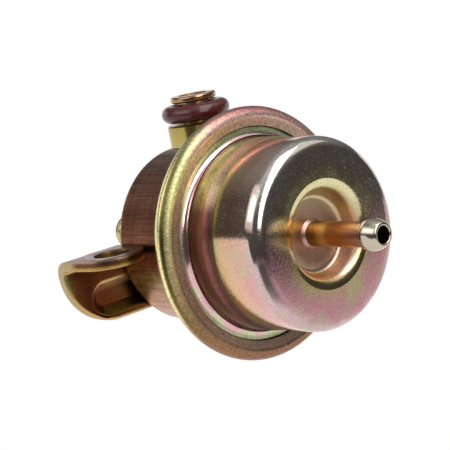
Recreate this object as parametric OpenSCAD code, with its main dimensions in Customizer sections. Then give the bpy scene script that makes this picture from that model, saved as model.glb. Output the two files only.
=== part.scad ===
// Fuel pressure regulator with a side inlet port, a rear return tube and a folded mounting bracket.
// Main axis X, vacuum nipple towards +X. Inlet port along +Z. Bracket on the -Y side.
// Origin: on the inlet port's axis, at the shoulder under its O-ring. Sizes in millimetres.

/* [Crimped rim] */
// Outside diameter of the crimped rim
rim_d = 52; // [50:0.5:60]
// How far the crimped lip reaches in from the rim's edge
lip_reach = 4.3; // [3.5:0.1:4.8]
// Thickness of the lip at its coined inner edge
lip_edge = 0.6; // [0.3:0.05:0.9]

/* [Lower housing] */
// Outside diameter of the drawn cup
cup_d = 37.3; // [35:0.1:39]
// Depth of the cup, from the middle of the rim to its back
cup_len = 22.7; // [20:0.1:30]
// Sheet thickness of the cup and its rolled rim
cup_sheet = 1.2; // [1:0.1:1.4]
// Inside radius of the cup's back corner
cup_corner_in = 0.2; // [0.1:0.1:1.5]
// Radius between the cup's wall and its flange
cup_root = 1.2; // [0.6:0.1:1.8]

/* [Upper housing] */
// Outside diameter of the spring chamber
can_d = 38.4; // [36:0.1:40]
// Height of the spring chamber, from the middle of the rim to its front
can_len = 20.7; // [18:0.1:30]
// Sheet thickness of the spring chamber
can_sheet = 1; // [0.8:0.1:1.2]
// How much wider the chamber is at its foot, on the radius
can_step = 0.35; // [0.1:0.05:0.8]
// Where the wider foot ends
step_start = 5.8; // [4:0.1:7]
// Where the full length of the chamber begins
step_end = 8.3; // [7.5:0.1:12]
// Radius between the chamber's wall and its flange
can_root = 1.4; // [0.6:0.1:1.6]
// Radius of the front corner
can_corner = 2.8; // [1.6:0.1:4]

/* [Front recess] */
// Diameter where the front face starts to turn in
recess_d = 21.8; // [19:0.1:23]
// Diameter of the flat floor
floor_d = 14; // [11:0.1:15]
// Depth of the floor below the front face
recess_depth = 4.4; // [3.6:0.1:6]
// Radius of the rolled lip of the recess
recess_lip = 2.4; // [1.6:0.1:2.8]
// Radius between the recess wall and its floor
floor_fillet = 1; // [0.4:0.1:1.4]

/* [Vacuum nipple] */
// Outside diameter of the nipple's tube
nipple_d = 5; // [4:0.1:6]
// Bore of the nipple
nipple_bore = 3.4; // [2:0.1:3.6]
// Length of the nipple above the recess floor
nipple_len = 19.1; // [15:0.1:26]
// Diameter of the hose bulb
bulb_d = 6.5; // [6.2:0.1:8]
// Length of the bulb's back slope
bulb_back = 1; // [0.8:0.1:3]
// Length of the bulb's nose
bulb_nose = 3.2; // [2:0.1:4]
// Diameter of the nipple's end face
nose_d = 4.6; // [3.8:0.1:5.5]
// Diameter of the braze fillet at the nipple's foot
braze_d = 6.2; // [5.8:0.1:9]
// Height of that fillet, and of the staked edge inside
braze_h = 0.5; // [0.4:0.1:1.2]

/* [Inlet port] */
// Distance of the port's axis behind the middle of the rim
inlet_back = 12.1; // [10:0.1:14]
// Height of the port's shoulder above the main axis
shoulder_h = 24; // [22:0.1:30]
// Diameter of the port's collar
collar_d = 12.8; // [11:0.1:14]
// Gap between the collar's flat foot and the crown of the cup
collar_gap = 0.6; // [0.2:0.1:1.5]
// Broken edge of the collar
collar_edge = 0.3; // [0.1:0.05:0.5]
// Width of the O-ring groove
groove_w = 4.4; // [4:0.1:6]
// Inside diameter of the O-ring
o_ring_id = 7.2; // [6.8:0.05:9]
// Section of the O-ring
o_ring_section = 3.53; // [2.6:0.01:3.9]
// Diameter of the lip that keeps the O-ring on
inlet_lip_d = 9.5; // [9.2:0.1:11]
// Thickness of that lip
inlet_lip_t = 1.3; // [1:0.1:2]
// Radius of the lip's rounded edges
lip_round = 0.45; // [0.2:0.05:0.45]
// Bevel of the port's mouth
mouth_bevel = 0.5; // [0.2:0.1:0.8]
// Bore of the port
inlet_bore = 5.2; // [4:0.1:5.6]
// Diameter of the spigot that is brazed into the cup
spigot_d = 9.1; // [8:0.1:10]
// How far the spigot stands into the cup
spigot_out = 0.6; // [0.3:0.1:2]

/* [Inlet screen] */
// Height of the screen's ring
screen_ring_h = 1.6; // [1:0.1:3]
// Length of the screen's sleeve below the ring
screen_len = 6; // [3:0.1:9]
// Wall of the screen
screen_wall = 0.25; // [0.2:0.05:0.4]
// How far the screen sits below the port's mouth
screen_sink = 0.6; // [0.2:0.1:2]

/* [Mounting bracket] */
// Sheet thickness of the bracket
plate_t = 2; // [1.5:0.1:2.5]
// Reach of the arm sideways from the main axis
arm_reach = 33.2; // [31:0.1:40]
// Drop of the plate below the main axis
plate_drop = 13.1; // [12.5:0.1:16]
// Radius of the plate's rounded front edge
plate_edge = 0.7; // [0.3:0.1:1.2]
// Height of the tab's top face above the main axis
tab_top = 2.2; // [1:0.1:4]
// Inside radius of the fold
fold_in = 1; // [0.5:0.1:2]
// Reach of the tab forward of the plate
tab_reach = 13.5; // [11:0.1:15]
// Width of the tab's rounded end
tab_w = 13.2; // [11:0.1:13.8]
// Clear gap between the tab and the cup
tab_gap = 0.4; // [0.3:0.1:2]
// Diameter of the bolt hole
bolt_hole_d = 7.6; // [6.4:0.1:8]
// Reach of the bolt hole forward of the plate
bolt_reach = 7.3; // [6:0.1:7.5]
// Depth of the pressed stiffening channel
channel_h = 1.9; // [1:0.1:2.2]
// Width of the channel at the plate's front
channel_w = 7.2; // [5:0.1:7.6]
// Width of the channel's flat floor
channel_floor = 3.3; // [2:0.1:3.8]
// Reach of the channel's round end sideways from the main axis
channel_reach = 27.4; // [24:0.1:28]
// Length of the channel between the centres of its round ends
channel_len = 14; // [4:0.1:16]
// Depth of the channel's middle below the main axis
channel_drop = 8; // [7.6:0.1:8.2]

/* [Return tube] */
// Outside diameter of the return tube
return_d = 7.5; // [6.5:0.1:8.5]
// Bore of the return tube
return_bore = 5.2; // [4:0.1:5.4]
// Length of the tube behind the cup
return_len = 20.8; // [16:0.1:35]
// Diameter of the hose bead
hose_bead_d = 8.4; // [8:0.1:10]
// Distance of the bead's middle from the tube's end
hose_bead_back = 1.6; // [1.2:0.1:4]
// Diameter of the tube's body inside the cup
stand_d = 10; // [9.5:0.1:11]
// Thickness of the collar that is swaged over the bracket
swage_t = 1; // [0.6:0.1:2]

/* [Diaphragm] */
// Thickness of the diaphragm
diaphragm_t = 0.6; // [0.4:0.05:0.8]
// Thickness of the spring plate and the backing plate
disc_t = 1; // [0.6:0.1:1.4]
// Height of the spring plate's rim
disc_rim = 2; // [1.6:0.1:3]
// Diameter of the backing plate
backing_d = 25; // [20:0.5:28]

/* [Valve] */
// Diameter of the valve holder's shank
shank_d = 6.4; // [5.6:0.1:8]
// Diameter of the valve holder's body
holder_d = 11.6; // [11.2:0.1:13]
// Thickness of the holder above the valve plate
holder_t = 2; // [1.6:0.1:3]
// Diameter of the valve plate
valve_d = 8.4; // [8:0.1:8.6]
// Diameter of the valve plate's sealing boss
boss_d = 6; // [5.6:0.1:6.4]
// Thickness of the valve plate's flange, and of its boss
valve_t = 0.8; // [0.6:0.1:1.2]
// Diameter of the ball behind the valve plate
ball_d = 3.2; // [2.8:0.1:3.4]
// Depth of the valve plate's socket for the ball
socket = 0.5; // [0.3:0.05:0.6]
// Height of the valve seat above the return tube's body
seat_h = 0.8; // [0.6:0.1:1.5]
// Outside diameter of the valve seat
seat_d = 6.6; // [6.4:0.1:6.8]
// Bore of the valve seat
seat_bore = 3.4; // [2.6:0.1:3.8]
// Width of the flat land that seals
seat_land = 0.8; // [0.5:0.05:1]

/* [Springs] */
// Wire of the main spring
wire_d = 2.4; // [1.8:0.1:2.6]
// Turns of the main spring
spring_turns = 5.5; // [4:0.25:6]
// Wire of the ball's spring
fine_wire = 0.4; // [0.3:0.02:0.44]
// Turns of the ball's spring
fine_turns = 3.5; // [2:0.25:4]

/* [Clearances] */
// Gap between brazed, pressed or staked pieces, on the radius
joint_gap = 0.02; // [0.01:0.01:0.05]
// Play around loose pieces of the valve
play = 0.3; // [0.15:0.05:0.35]
// Gap between the springs and what centres them
spring_gap = 0.3; // [0.1:0.05:0.5]

/* [Hidden] */
$fn = 96;

// Radii
rim_r = rim_d / 2;
cup_r = cup_d / 2;
can_r = can_d / 2;
foot_r = can_r + can_step;
recess_r = recess_d / 2;
floor_r = floor_d / 2;
nipple_r = nipple_d / 2;
return_r = return_d / 2;
tab_r = tab_w / 2;
ball_r = ball_d / 2;

// The rim closes over the diaphragm and the chamber's flange, half on each side of its middle
seam = (diaphragm_t + can_sheet) / 2;
rim_half = seam + cup_sheet;
rim_bend_r = rim_r - rim_half;
lip_r = rim_r - lip_reach;
cup_corner = cup_corner_in + cup_sheet;
cup_floor = -cup_len + cup_sheet;

// Recess wall: a straight strip that touches the lip's arc and the floor's arc
floor_x = can_len - recess_depth;
wall_run = recess_r - floor_r;
wall_arcs = recess_lip + floor_fillet;
wall_rise = recess_depth - wall_arcs;
wall_len = sqrt(wall_run^2 + wall_rise^2 - wall_arcs^2);
wall_tilt = atan2(wall_rise, wall_run) + atan2(wall_arcs, wall_len);

// Bracket: the fold starts where the arm's round corner ends
back_x = -cup_len;
fold_z = tab_top - plate_t - fold_in;
arm_corner = plate_drop + fold_z;
channel_skin = 0.6;
tab_y = -(cup_r + tab_gap + tab_r);
tab_x = back_x + tab_reach - tab_r;

// Moving stack, from the diaphragm towards the seat
diaphragm_top = seam - can_sheet;
diaphragm_mid = diaphragm_top - diaphragm_t / 2;
stack_top = diaphragm_top + disc_t;
backing_x = -seam - disc_t;
holder_r = holder_d / 2;
shank_r = shank_d / 2;
ceiling_x = backing_x - holder_t;
valve_top = ceiling_x - play;
flange_x = valve_top - valve_t;
seat_x = flange_x - valve_t;
ring_t = 0.5;
ring_play = 0.1;
skirt_lip = 0.4;
ring_x = flange_x - ring_play - ring_t;
skirt_x = ring_x - skirt_lip;
skirt_r = valve_d / 2 + play;
ring_seat_r = skirt_r + play;
stand_x = seat_x - seat_h;
seat_depth = 3;
pocket_play = 0.05;
pocket_roof = 0.2;
over = 1;
ball_x = valve_top - socket + ball_r;
pocket_r = ball_r + pocket_play;
pocket_x = stack_top - pocket_roof;

// Main spring, around the back of the front recess
spring_r = recess_r + spring_gap + wire_d / 2;
disc_rim_r = spring_r + wire_d / 2 + spring_gap;
disc_corner = 0.4;
disc_r = disc_rim_r + disc_t;

// Diaphragm's rolling fold, between the spring plate and the chamber's wall
fold_gap = 0.3;
roll_from = disc_r + fold_gap + diaphragm_t / 2;
roll_to = foot_r - can_sheet - fold_gap - diaphragm_t / 2;
roll_r = (roll_to - roll_from) / 2;

// Ball's spring, from the ball up to the end of its pocket
fine_r = pocket_r - fine_wire / 2 - 2 * pocket_play;
fine_from = ball_x + sqrt((ball_r + fine_wire / 2 + joint_gap)^2 - fine_r^2);
fine_to = pocket_x - fine_wire / 2;

// Facets of the springs: sides of the wire and steps in a turn
wire_sides = 10;
wire_steps = 24;
fine_sides = 6;
fine_steps = 14;

// Solid of revolution about the main axis: profile x is the radius, profile y the place along the axis
module turned() rotate([0, 90, 0]) rotate_extrude() children();

// Moves a piece drawn about the main axis into the part's frame
module placed() translate([inlet_back, 0, -shoulder_h]) children();

// Rectangle between two radii and two places along the axis
module ring_section(inner, outer, low, high) translate([inner, low]) square([outer - inner, high - low]);

// Part of a ring between two angles, up to half a turn
module arc_band(centre, inner, outer, from, to) {
  reach = 2 * outer;
  span = (to - from) / 3;
  translate(centre) intersection() {
    difference() {
      circle(outer);
      if (inner > 0) circle(inner);
    }
    polygon([[0, 0], for (i = [0 : 3]) reach * [cos(from + i * span), sin(from + i * span)]]);
  }
}

// Wire of round section wound about the main axis, with one closed turn at each end
module coil_spring(radius, wire, turns, low, high, sides, steps) {
  rings = round(turns * steps);
  open_pitch = (high - low - 2 * wire) / (turns - 2);
  function climb(t) =
    t < 1 ? wire * t :
    t > turns - 1 ? high - low - wire * (turns - t) :
    wire + open_pitch * (t - 1);
  points = [
    for (i = [0 : rings], k = [0 : sides - 1])
      let (t = turns * i / rings, a = 360 * t, b = 360 * k / sides, r = radius + wire / 2 * cos(b))
      [low + climb(t) + wire / 2 * sin(b), r * cos(a), r * sin(a)]
  ];
  walls = [
    for (i = [0 : rings - 1], k = [0 : sides - 1])
      let (n = (k + 1) % sides, p = i * sides, q = p + sides)
      [p + k, q + k, q + n, p + n]
  ];
  start = [for (k = [0 : sides - 1]) k];
  end = [for (k = [sides - 1 : -1 : 0]) rings * sides + k];
  polyhedron(points, concat([start], walls, [end]), convexity = 10);
}

// Drawn cup whose flange is rolled over the chamber's flange
module lower_housing() color("#a08a4e") placed() difference() {
  turned() {
    ring_section(return_r + joint_gap, cup_r - cup_corner, back_x, cup_floor);
    arc_band([cup_r - cup_corner, back_x + cup_corner], cup_corner_in, cup_corner, 270, 360);
    ring_section(cup_r - cup_sheet, cup_r, back_x + cup_corner, -rim_half - cup_root);
    arc_band([cup_r + cup_root, -rim_half - cup_root], cup_root, cup_root + cup_sheet, 90, 180);
    ring_section(cup_r + cup_root, rim_bend_r, -rim_half, -seam);
    arc_band([rim_bend_r, 0], seam, rim_half, -90, 90);
    polygon([
      [rim_bend_r, seam], [rim_bend_r, rim_half],
      [lip_r + lip_edge / 2, seam + lip_edge], [lip_r + lip_edge / 2, seam]
    ]);
    translate([lip_r + lip_edge / 2, seam + lip_edge / 2]) circle(lip_edge / 2);
  }
  translate([-inlet_back, 0, 0]) cylinder(h = rim_r, r = spigot_d / 2 + joint_gap);
}

// Drawn spring chamber with a sunk front, its flange held under the rolled rim
module upper_housing() color("#c9a76a") placed() turned() {
  lip_c = [recess_r, can_len - recess_lip];
  floor_c = [floor_r, floor_x + floor_fillet];
  out = [-sin(wall_tilt), cos(wall_tilt)];
  lip_end = lip_c + recess_lip * out;
  wall_end = floor_c - floor_fillet * out;
  ring_section(foot_r + can_root, rim_bend_r, seam - can_sheet, seam);
  arc_band([foot_r + can_root, seam + can_root], can_root, can_root + can_sheet, 180, 270);
  ring_section(foot_r - can_sheet, foot_r, seam + can_root, step_start);
  polygon([
    [foot_r - can_sheet, step_start], [foot_r, step_start], [can_r, step_end], [can_r - can_sheet, step_end]
  ]);
  ring_section(can_r - can_sheet, can_r, step_end, can_len - can_corner);
  arc_band([can_r - can_corner, can_len - can_corner], can_corner - can_sheet, can_corner, 0, 90);
  ring_section(recess_r, can_r - can_corner, can_len - can_sheet, can_len);
  arc_band(lip_c, recess_lip - can_sheet, recess_lip, 90, 90 + wall_tilt);
  polygon([lip_end, wall_end, wall_end - can_sheet * out, lip_end - can_sheet * out]);
  for (joint = [lip_end, wall_end]) translate(joint - can_sheet / 2 * out) circle(can_sheet / 4);
  arc_band(floor_c, floor_fillet, floor_fillet + can_sheet, 270, 270 + wall_tilt);
  ring_section(nipple_r + joint_gap, floor_r, floor_x - can_sheet, floor_x);
}

// Turned tube with a hose bulb, brazed to the recess floor and staked inside
module vacuum_nipple() color("#b07a3c") placed() turned() {
  bore_r = nipple_bore / 2;
  inner_x = floor_x - can_sheet;
  tip_x = floor_x + nipple_len;
  bulb_x = tip_x - bulb_nose;
  back_rise = (bulb_d - nipple_d) / 2;
  nose_fall = (bulb_d - nose_d) / 2;
  back_r = (bulb_back^2 + back_rise^2) / (2 * back_rise);
  nose_r = (bulb_nose^2 + nose_fall^2) / (2 * nose_fall);
  ring_section(bore_r, nipple_r + braze_h, inner_x - braze_h, inner_x);
  ring_section(bore_r, nipple_r, inner_x, bulb_x);
  polygon([
    [bore_r, floor_x], [braze_d / 2, floor_x],
    [nipple_r, floor_x + braze_h], [bore_r, floor_x + braze_h]
  ]);
  intersection() {
    translate([bulb_d / 2 - back_r, bulb_x]) circle(back_r);
    ring_section(bore_r, bulb_d, bulb_x - bulb_back, bulb_x);
  }
  intersection() {
    translate([bulb_d / 2 - nose_r, bulb_x]) circle(nose_r);
    ring_section(bore_r, bulb_d, bulb_x, tip_x);
  }
}

// Turned inlet: a spigot into the cup, a collar above its crown, and a groove and a lip for the O-ring
module inlet_port() color("#b9a253") rotate_extrude() {
  bore_r = inlet_bore / 2;
  neck_r = o_ring_id / 2 - joint_gap;
  collar_r = collar_d / 2;
  collar_foot = cup_r + collar_gap - shoulder_h;
  lip_top = groove_w + inlet_lip_t;
  keeper_r = inlet_lip_d / 2;
  spigot_r = spigot_d / 2;
  wall_inside = sqrt((cup_r - cup_sheet)^2 - spigot_r^2) - shoulder_h;
  ring_section(bore_r, spigot_r, wall_inside - spigot_out, collar_foot);
  polygon([
    [bore_r, collar_foot], [collar_r - collar_edge, collar_foot], [collar_r, collar_foot + collar_edge],
    [collar_r, -collar_edge], [collar_r - collar_edge, 0], [neck_r, 0], [neck_r, groove_w],
    [keeper_r - lip_round, groove_w], [keeper_r - lip_round, lip_top],
    [bore_r + mouth_bevel, lip_top], [bore_r, lip_top - mouth_bevel]
  ]);
  ring_section(neck_r, keeper_r, groove_w + lip_round, lip_top - lip_round);
  for (edge = [groove_w + lip_round, lip_top - lip_round])
    translate([keeper_r - lip_round, edge]) circle(lip_round);
}

// Rubber sealing ring of the inlet
module inlet_o_ring() color("#5a2a26")
  translate([0, 0, groove_w / 2])
    rotate_extrude() translate([(o_ring_id + o_ring_section) / 2, 0]) circle(o_ring_section / 2);

// Strainer pressed into the inlet's bore: a ring that carries a tapered sleeve with a closed end
module inlet_screen() color("#c8c8c0") {
  ring_r = inlet_bore / 2 - joint_gap;
  sleeve_r = ring_r - 3 * screen_wall;
  toe_r = sleeve_r / 2;
  top = groove_w + inlet_lip_t - screen_sink;
  foot = top - screen_ring_h - screen_len;
  rotate_extrude() polygon([
    [ring_r, top], [ring_r, top - screen_ring_h], [sleeve_r, top - screen_ring_h], [toe_r, foot], [0, foot],
    [0, foot + screen_wall], [toe_r - screen_wall, foot + screen_wall],
    [sleeve_r - screen_wall, top - screen_ring_h], [sleeve_r - screen_wall, top]
  ]);
}

// Form of the stiffening channel: sloped sides and round ends, its wide side at x = 0, sinking towards -X
module channel_form(wide, narrow, depth) {
  rotate([0, -90, 0]) {
    cylinder(h = depth, d1 = wide, d2 = narrow);
    translate([0, channel_len, 0]) cylinder(h = depth, d1 = wide, d2 = narrow);
  }
  translate([0, channel_len, 0]) rotate([90, 0, 0]) linear_extrude(channel_len)
    polygon([[0, -wide / 2], [-depth, -narrow / 2], [-depth, narrow / 2], [0, wide / 2]]);
}

// Section of the bracket's sheet from its middle out to a free edge, with the front edge rounded
module plate_section(reach) {
  ring_section(0, reach - plate_edge, 0, plate_t);
  ring_section(0, reach, 0, plate_t - plate_edge);
  translate([reach - plate_edge, plate_t - plate_edge]) circle(plate_edge);
}

// Flat of the bracket: a disc behind the cup and an arm with one large round corner
module bracket_plate() {
  arm_c = -arm_reach + arm_corner;
  turned() plate_section(plate_drop);
  translate([0, arm_c, fold_z]) rotate([-90, 0, 0]) rotate([0, 90, 0])
    rotate_extrude(angle = 90) plate_section(arm_corner);
  translate([0, 0, fold_z]) rotate([0, 90, -90]) linear_extrude(-arm_c) plate_section(arm_corner);
}

// Tab seen from above, about the centre of its rounded end: one side runs out to the arm's edge
module tab_outline(fold_x) {
  side_from = [fold_x - tab_x, -arm_reach - tab_y];
  side_turn = atan2(side_from.y, side_from.x) + acos(tab_r / norm(side_from));
  circle(tab_r);
  polygon([side_from, tab_r * [cos(side_turn), sin(side_turn)], [0, 0], [0, tab_r], [fold_x - tab_x, tab_r]]);
}

// Pressed bracket behind the cup, with a stiffening channel and a tab folded forward for the bolt
module mounting_bracket() color("#a5813f") placed() {
  fold_x = back_x + fold_in;
  channel_y = channel_w / 2 - channel_reach;
  difference() {
    union() {
      translate([back_x - plate_t, 0, 0]) bracket_plate();
      translate([0, tab_y + tab_r, 0]) rotate([90, 0, 0]) linear_extrude(arm_reach + tab_y + tab_r)
        arc_band([fold_x, fold_z], fold_in, fold_in + plate_t, 90, 180);
      translate([tab_x, tab_y, tab_top - plate_t]) linear_extrude(plate_t) tab_outline(fold_x);
      translate([back_x - plate_t, channel_y, -channel_drop])
        channel_form(channel_w + 2 * channel_skin, channel_floor + 2 * channel_skin, channel_h);
    }
    translate([back_x, channel_y, -channel_drop]) channel_form(channel_w, channel_floor, channel_h);
    translate([back_x - plate_t - over, 0, 0]) rotate([0, 90, 0])
      cylinder(h = plate_t + 2 * over, r = return_r + joint_gap);
    translate([back_x + bolt_reach, tab_y, tab_top - plate_t - over])
      cylinder(h = plate_t + 2 * over, d = bolt_hole_d);
  }
}

// Return tube: carries the valve seat inside, is swaged over the bracket and ends in a hose bead
module return_tube() color("#b09a55") placed() turned() {
  bore_r = return_bore / 2;
  end_x = back_x - return_len;
  bead_x = end_x + hose_bead_back;
  bead_rise = hose_bead_d / 2 - return_r;
  swage_x = back_x - plate_t;
  difference() {
    union() {
      ring_section(bore_r, stand_d / 2, cup_floor, stand_x);
      ring_section(bore_r, return_r, end_x, cup_floor);
      ring_section(bore_r, return_r + swage_t, swage_x - swage_t, swage_x);
      intersection() {
        translate([return_r - bead_rise, bead_x]) circle(2 * bead_rise);
        ring_section(bore_r, hose_bead_d, end_x, swage_x);
      }
    }
    ring_section(0, seat_d / 2 + joint_gap, stand_x - seat_depth, stand_x + over);
  }
}

// Hardened seat pressed into the return tube, with a narrow flat land
module valve_seat() color("#c9ccd0") placed() turned() {
  bore_r = seat_bore / 2;
  polygon([
    [bore_r, stand_x - seat_depth], [seat_d / 2, stand_x - seat_depth], [seat_d / 2, stand_x],
    [bore_r + seat_land, seat_x], [bore_r, seat_x]
  ]);
}

// Fabric-reinforced rubber diaphragm with one rolling fold
module diaphragm() color("#2b2a2c") placed() turned() {
  half = diaphragm_t / 2;
  middle = (roll_from + roll_to) / 2;
  ring_section(shank_r + joint_gap, roll_from + half, -seam, diaphragm_top);
  arc_band([middle, diaphragm_mid], roll_r - half, roll_r + half, 0, 180);
  ring_section(roll_to - half, rim_bend_r, -seam, diaphragm_top);
}

// Dished plate that carries the main spring on the diaphragm
module spring_plate() color("#c4b27a") placed() turned() {
  bend = disc_corner + disc_t;
  ring_section(shank_r + joint_gap, disc_r - bend, diaphragm_top, stack_top);
  arc_band([disc_r - bend, diaphragm_top + bend], disc_corner, bend, 270, 360);
  ring_section(disc_rim_r, disc_r, diaphragm_top + bend, stack_top + disc_rim);
}

// Disc that backs the diaphragm on the fuel side, with a rounded edge
module backing_plate() color("#c4b27a") placed() turned() {
  edge = disc_t / 2;
  ring_section(shank_r + joint_gap, backing_d / 2 - edge, backing_x, -seam);
  translate([backing_d / 2 - edge, backing_x + edge]) circle(edge);
}

// Turned holder staked through the plates, with a pocket for the ball and a skirt for the valve plate
module valve_holder() color("#cdb36a") placed() turned() {
  stake_t = 1;
  stake_r = shank_r + stake_t;
  difference() {
    union() {
      ring_section(0, holder_r, skirt_x, backing_x);
      ring_section(0, shank_r, backing_x, stack_top + stake_t);
      ring_section(0, stake_r - stake_t / 2, stack_top, stack_top + stake_t);
      translate([stake_r - stake_t / 2, stack_top + stake_t / 2]) circle(stake_t / 2);
    }
    ring_section(0, skirt_r, skirt_x - over, ceiling_x);
    ring_section(0, ring_seat_r, ring_x - joint_gap, ring_x + ring_t + joint_gap);
    ring_section(0, pocket_r, ceiling_x - over, pocket_x);
  }
}

// Flat valve plate that settles on the seat, with a round socket for the ball
module valve_plate() color("#c9ccd0") placed() difference() {
  turned() {
    ring_section(0, valve_d / 2, flange_x, valve_top);
    ring_section(0, boss_d / 2, seat_x, flange_x);
  }
  translate([ball_x, 0, 0]) sphere(ball_r + joint_gap);
}

// Steel ball on which the valve plate tilts
module valve_ball() color("#d8dade") placed() translate([ball_x, 0, 0]) sphere(ball_r);

// Spring that presses the ball on the valve plate
module ball_spring() color("#b8bcc2") placed()
  coil_spring(fine_r, fine_wire, fine_turns, fine_from, fine_to, fine_sides, fine_steps);

// Ring that keeps the valve plate in its holder
module retaining_ring() color("#b8bcc2") placed() turned()
  ring_section(boss_d / 2 + play, ring_seat_r - joint_gap, ring_x, ring_x + ring_t);

// Spring that sets the pressure, between the spring plate and the chamber's front
module main_spring() color("#8d9198") placed() {
  low = stack_top + wire_d / 2;
  high = can_len - can_sheet - wire_d / 2;
  coil_spring(spring_r, wire_d, spring_turns, low, high, wire_sides, wire_steps);
}

lower_housing();
upper_housing();
vacuum_nipple();
inlet_port();
inlet_o_ring();
inlet_screen();
mounting_bracket();
return_tube();
valve_seat();
diaphragm();
spring_plate();
backing_plate();
valve_holder();
valve_plate();
valve_ball();
ball_spring();
retaining_ring();
main_spring();
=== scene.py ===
# %% [markdown]
# # A fuel pressure regulator in yellow-chromated steel
# The real regulator is a crimped steel capsule. Fuel comes in through the side port with the maroon O-ring
# and leaves through the tube behind, and a vacuum hose goes on the nipple in the sunk front. The packed
# solids already have their true shapes, so this lesson is about looks: a camera, a small studio and a finish
# for every piece. At the end, the two inner pieces that deform get smooth copies.

# %% Load the frame
import math
from collections import namedtuple

import bmesh
import bpy
from mathutils import Matrix, Vector


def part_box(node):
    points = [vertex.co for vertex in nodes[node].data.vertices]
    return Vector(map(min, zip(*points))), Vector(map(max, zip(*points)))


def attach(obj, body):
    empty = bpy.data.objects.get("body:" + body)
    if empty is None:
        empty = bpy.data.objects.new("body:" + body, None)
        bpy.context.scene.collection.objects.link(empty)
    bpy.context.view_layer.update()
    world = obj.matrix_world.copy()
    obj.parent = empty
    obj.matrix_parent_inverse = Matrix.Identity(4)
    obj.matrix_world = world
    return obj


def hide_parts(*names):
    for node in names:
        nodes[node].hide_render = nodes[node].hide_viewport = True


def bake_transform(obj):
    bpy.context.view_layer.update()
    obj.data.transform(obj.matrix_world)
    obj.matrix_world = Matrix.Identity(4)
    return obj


MM = 0.001

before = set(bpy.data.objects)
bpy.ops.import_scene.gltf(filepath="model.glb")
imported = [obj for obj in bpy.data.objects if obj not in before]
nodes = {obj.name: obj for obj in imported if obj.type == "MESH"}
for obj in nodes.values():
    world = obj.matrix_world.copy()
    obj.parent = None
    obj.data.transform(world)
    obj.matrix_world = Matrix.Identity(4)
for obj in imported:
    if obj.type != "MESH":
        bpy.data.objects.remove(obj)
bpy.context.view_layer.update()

# %% [markdown]
# ## Sizes and places
# Everything is in metres, as the frame is. The main axis of the regulator runs along X through the chamber,
# so its place is read from the chamber's box, and the middle of the crimped rim is read from the cup's box.

# %% Read the main axis from the frame
RIM_HALF = 2.0 * MM

chamber_low, chamber_high = (Vector(corner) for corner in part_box("upper_housing"))
cup_low, cup_high = (Vector(corner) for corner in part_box("lower_housing"))
axis_z = (chamber_low.z + chamber_high.z) / 2
rim_middle = Vector((cup_high.x - RIM_HALF, 0, axis_z))
print("middle of the rim in mm:", [round(c / MM, 2) for c in rim_middle])

# %% [markdown]
# ## The camera
# The photograph was taken with a long lens, a little from above and with a slight roll. These angles come
# from matching the ellipses of the rim and the chamber. The rim's middle isn't in the middle of the picture,
# so the camera is turned by that small angle. Shifting the lens would do it too, but a turn works in every
# other view.

# %% Place the camera
PICTURE = 450
FOCAL_PIXELS = 1500
SENSOR = 36
AZIMUTH, ELEVATION, ROLL = (math.radians(t) for t in (49.16, 9.96, -10.54))
CAMERA_DISTANCE = 306.6 * MM
NEAREST = 10 * MM
RIM_PIXEL = (257.3, 233.05)


def camera_axes():
    """Right, up and back of a camera that looks straight at the rim's middle."""
    back = Vector((
        math.sin(AZIMUTH) * math.cos(ELEVATION),
        -math.cos(AZIMUTH) * math.cos(ELEVATION),
        math.sin(ELEVATION),
    ))
    level = Vector((math.cos(AZIMUTH), math.sin(AZIMUTH), 0))
    upright = back.cross(level)
    right = level * math.cos(ROLL) + upright * math.sin(ROLL)
    return right, back.cross(right), back


right, up, back = camera_axes()
aim_right, aim_up = ((PICTURE / 2 - place) / FOCAL_PIXELS for place in RIM_PIXEL)
view_back = (back - right * aim_right + up * aim_up).normalized()
view_right = up.cross(view_back).normalized()
view_up = view_back.cross(view_right)

camera_data = bpy.data.cameras.new("camera")
camera_data.sensor_width = SENSOR
camera_data.lens = FOCAL_PIXELS / PICTURE * SENSOR
camera_data.clip_start = NEAREST
camera = bpy.data.objects.new("camera", camera_data)
turn = Matrix((view_right, view_up, view_back)).transposed().to_4x4()
camera.matrix_world = Matrix.Translation(rim_middle + back * CAMERA_DISTANCE) @ turn
bpy.context.scene.collection.objects.link(camera)
bpy.context.scene.camera = camera
print("lens in mm:", camera_data.lens, "camera at:", [round(c, 3) for c in camera.location])

# %% [markdown]
# ## Colours and nodes
# Colours are written as sRGB hex values, as a colour picker shows them, and turned to the linear values that
# Blender computes with. One function adds any shader node: settings become attributes, inputs become values
# or links, and stops fill a colour ramp. It gives the node's outputs, ready to be linked on.

# %% Helpers for materials
def linear(code):
    """Linear RGBA of an sRGB hex colour such as "c9a45c"."""
    parts = [int(code[i:i + 2], 16) / 255 for i in (0, 2, 4)]
    return [p / 12.92 if p <= 0.04045 else ((p + 0.055) / 1.055) ** 2.4 for p in parts] + [1.0]


def add(tree, kind, inputs=None, stops=None, **settings):
    """Outputs of a new node with its settings, its input values or links, and the stops of a colour ramp."""
    made = tree.nodes.new(kind)
    for key, value in settings.items():
        setattr(made, key, value)
    for key, value in (inputs or {}).items():
        if isinstance(value, bpy.types.NodeSocket):
            tree.links.new(value, made.inputs[key])
        else:
            made.inputs[key].default_value = value
    if stops:
        ramp = made.color_ramp
        while len(ramp.elements) < len(stops):
            ramp.elements.new(1.0)
        for element, (place, colour) in zip(ramp.elements, stops):
            element.position = place
            element.color = linear(colour) if isinstance(colour, str) else [colour] * 3 + [1.0]
    return made.outputs


def new_material(name):
    """An empty node material and its tree."""
    material = bpy.data.materials.new(name)
    material.use_nodes = True
    material.node_tree.nodes.clear()
    return material, material.node_tree


print("gold as linear:", [round(c, 3) for c in linear("c9a45c")[:3]])

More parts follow.
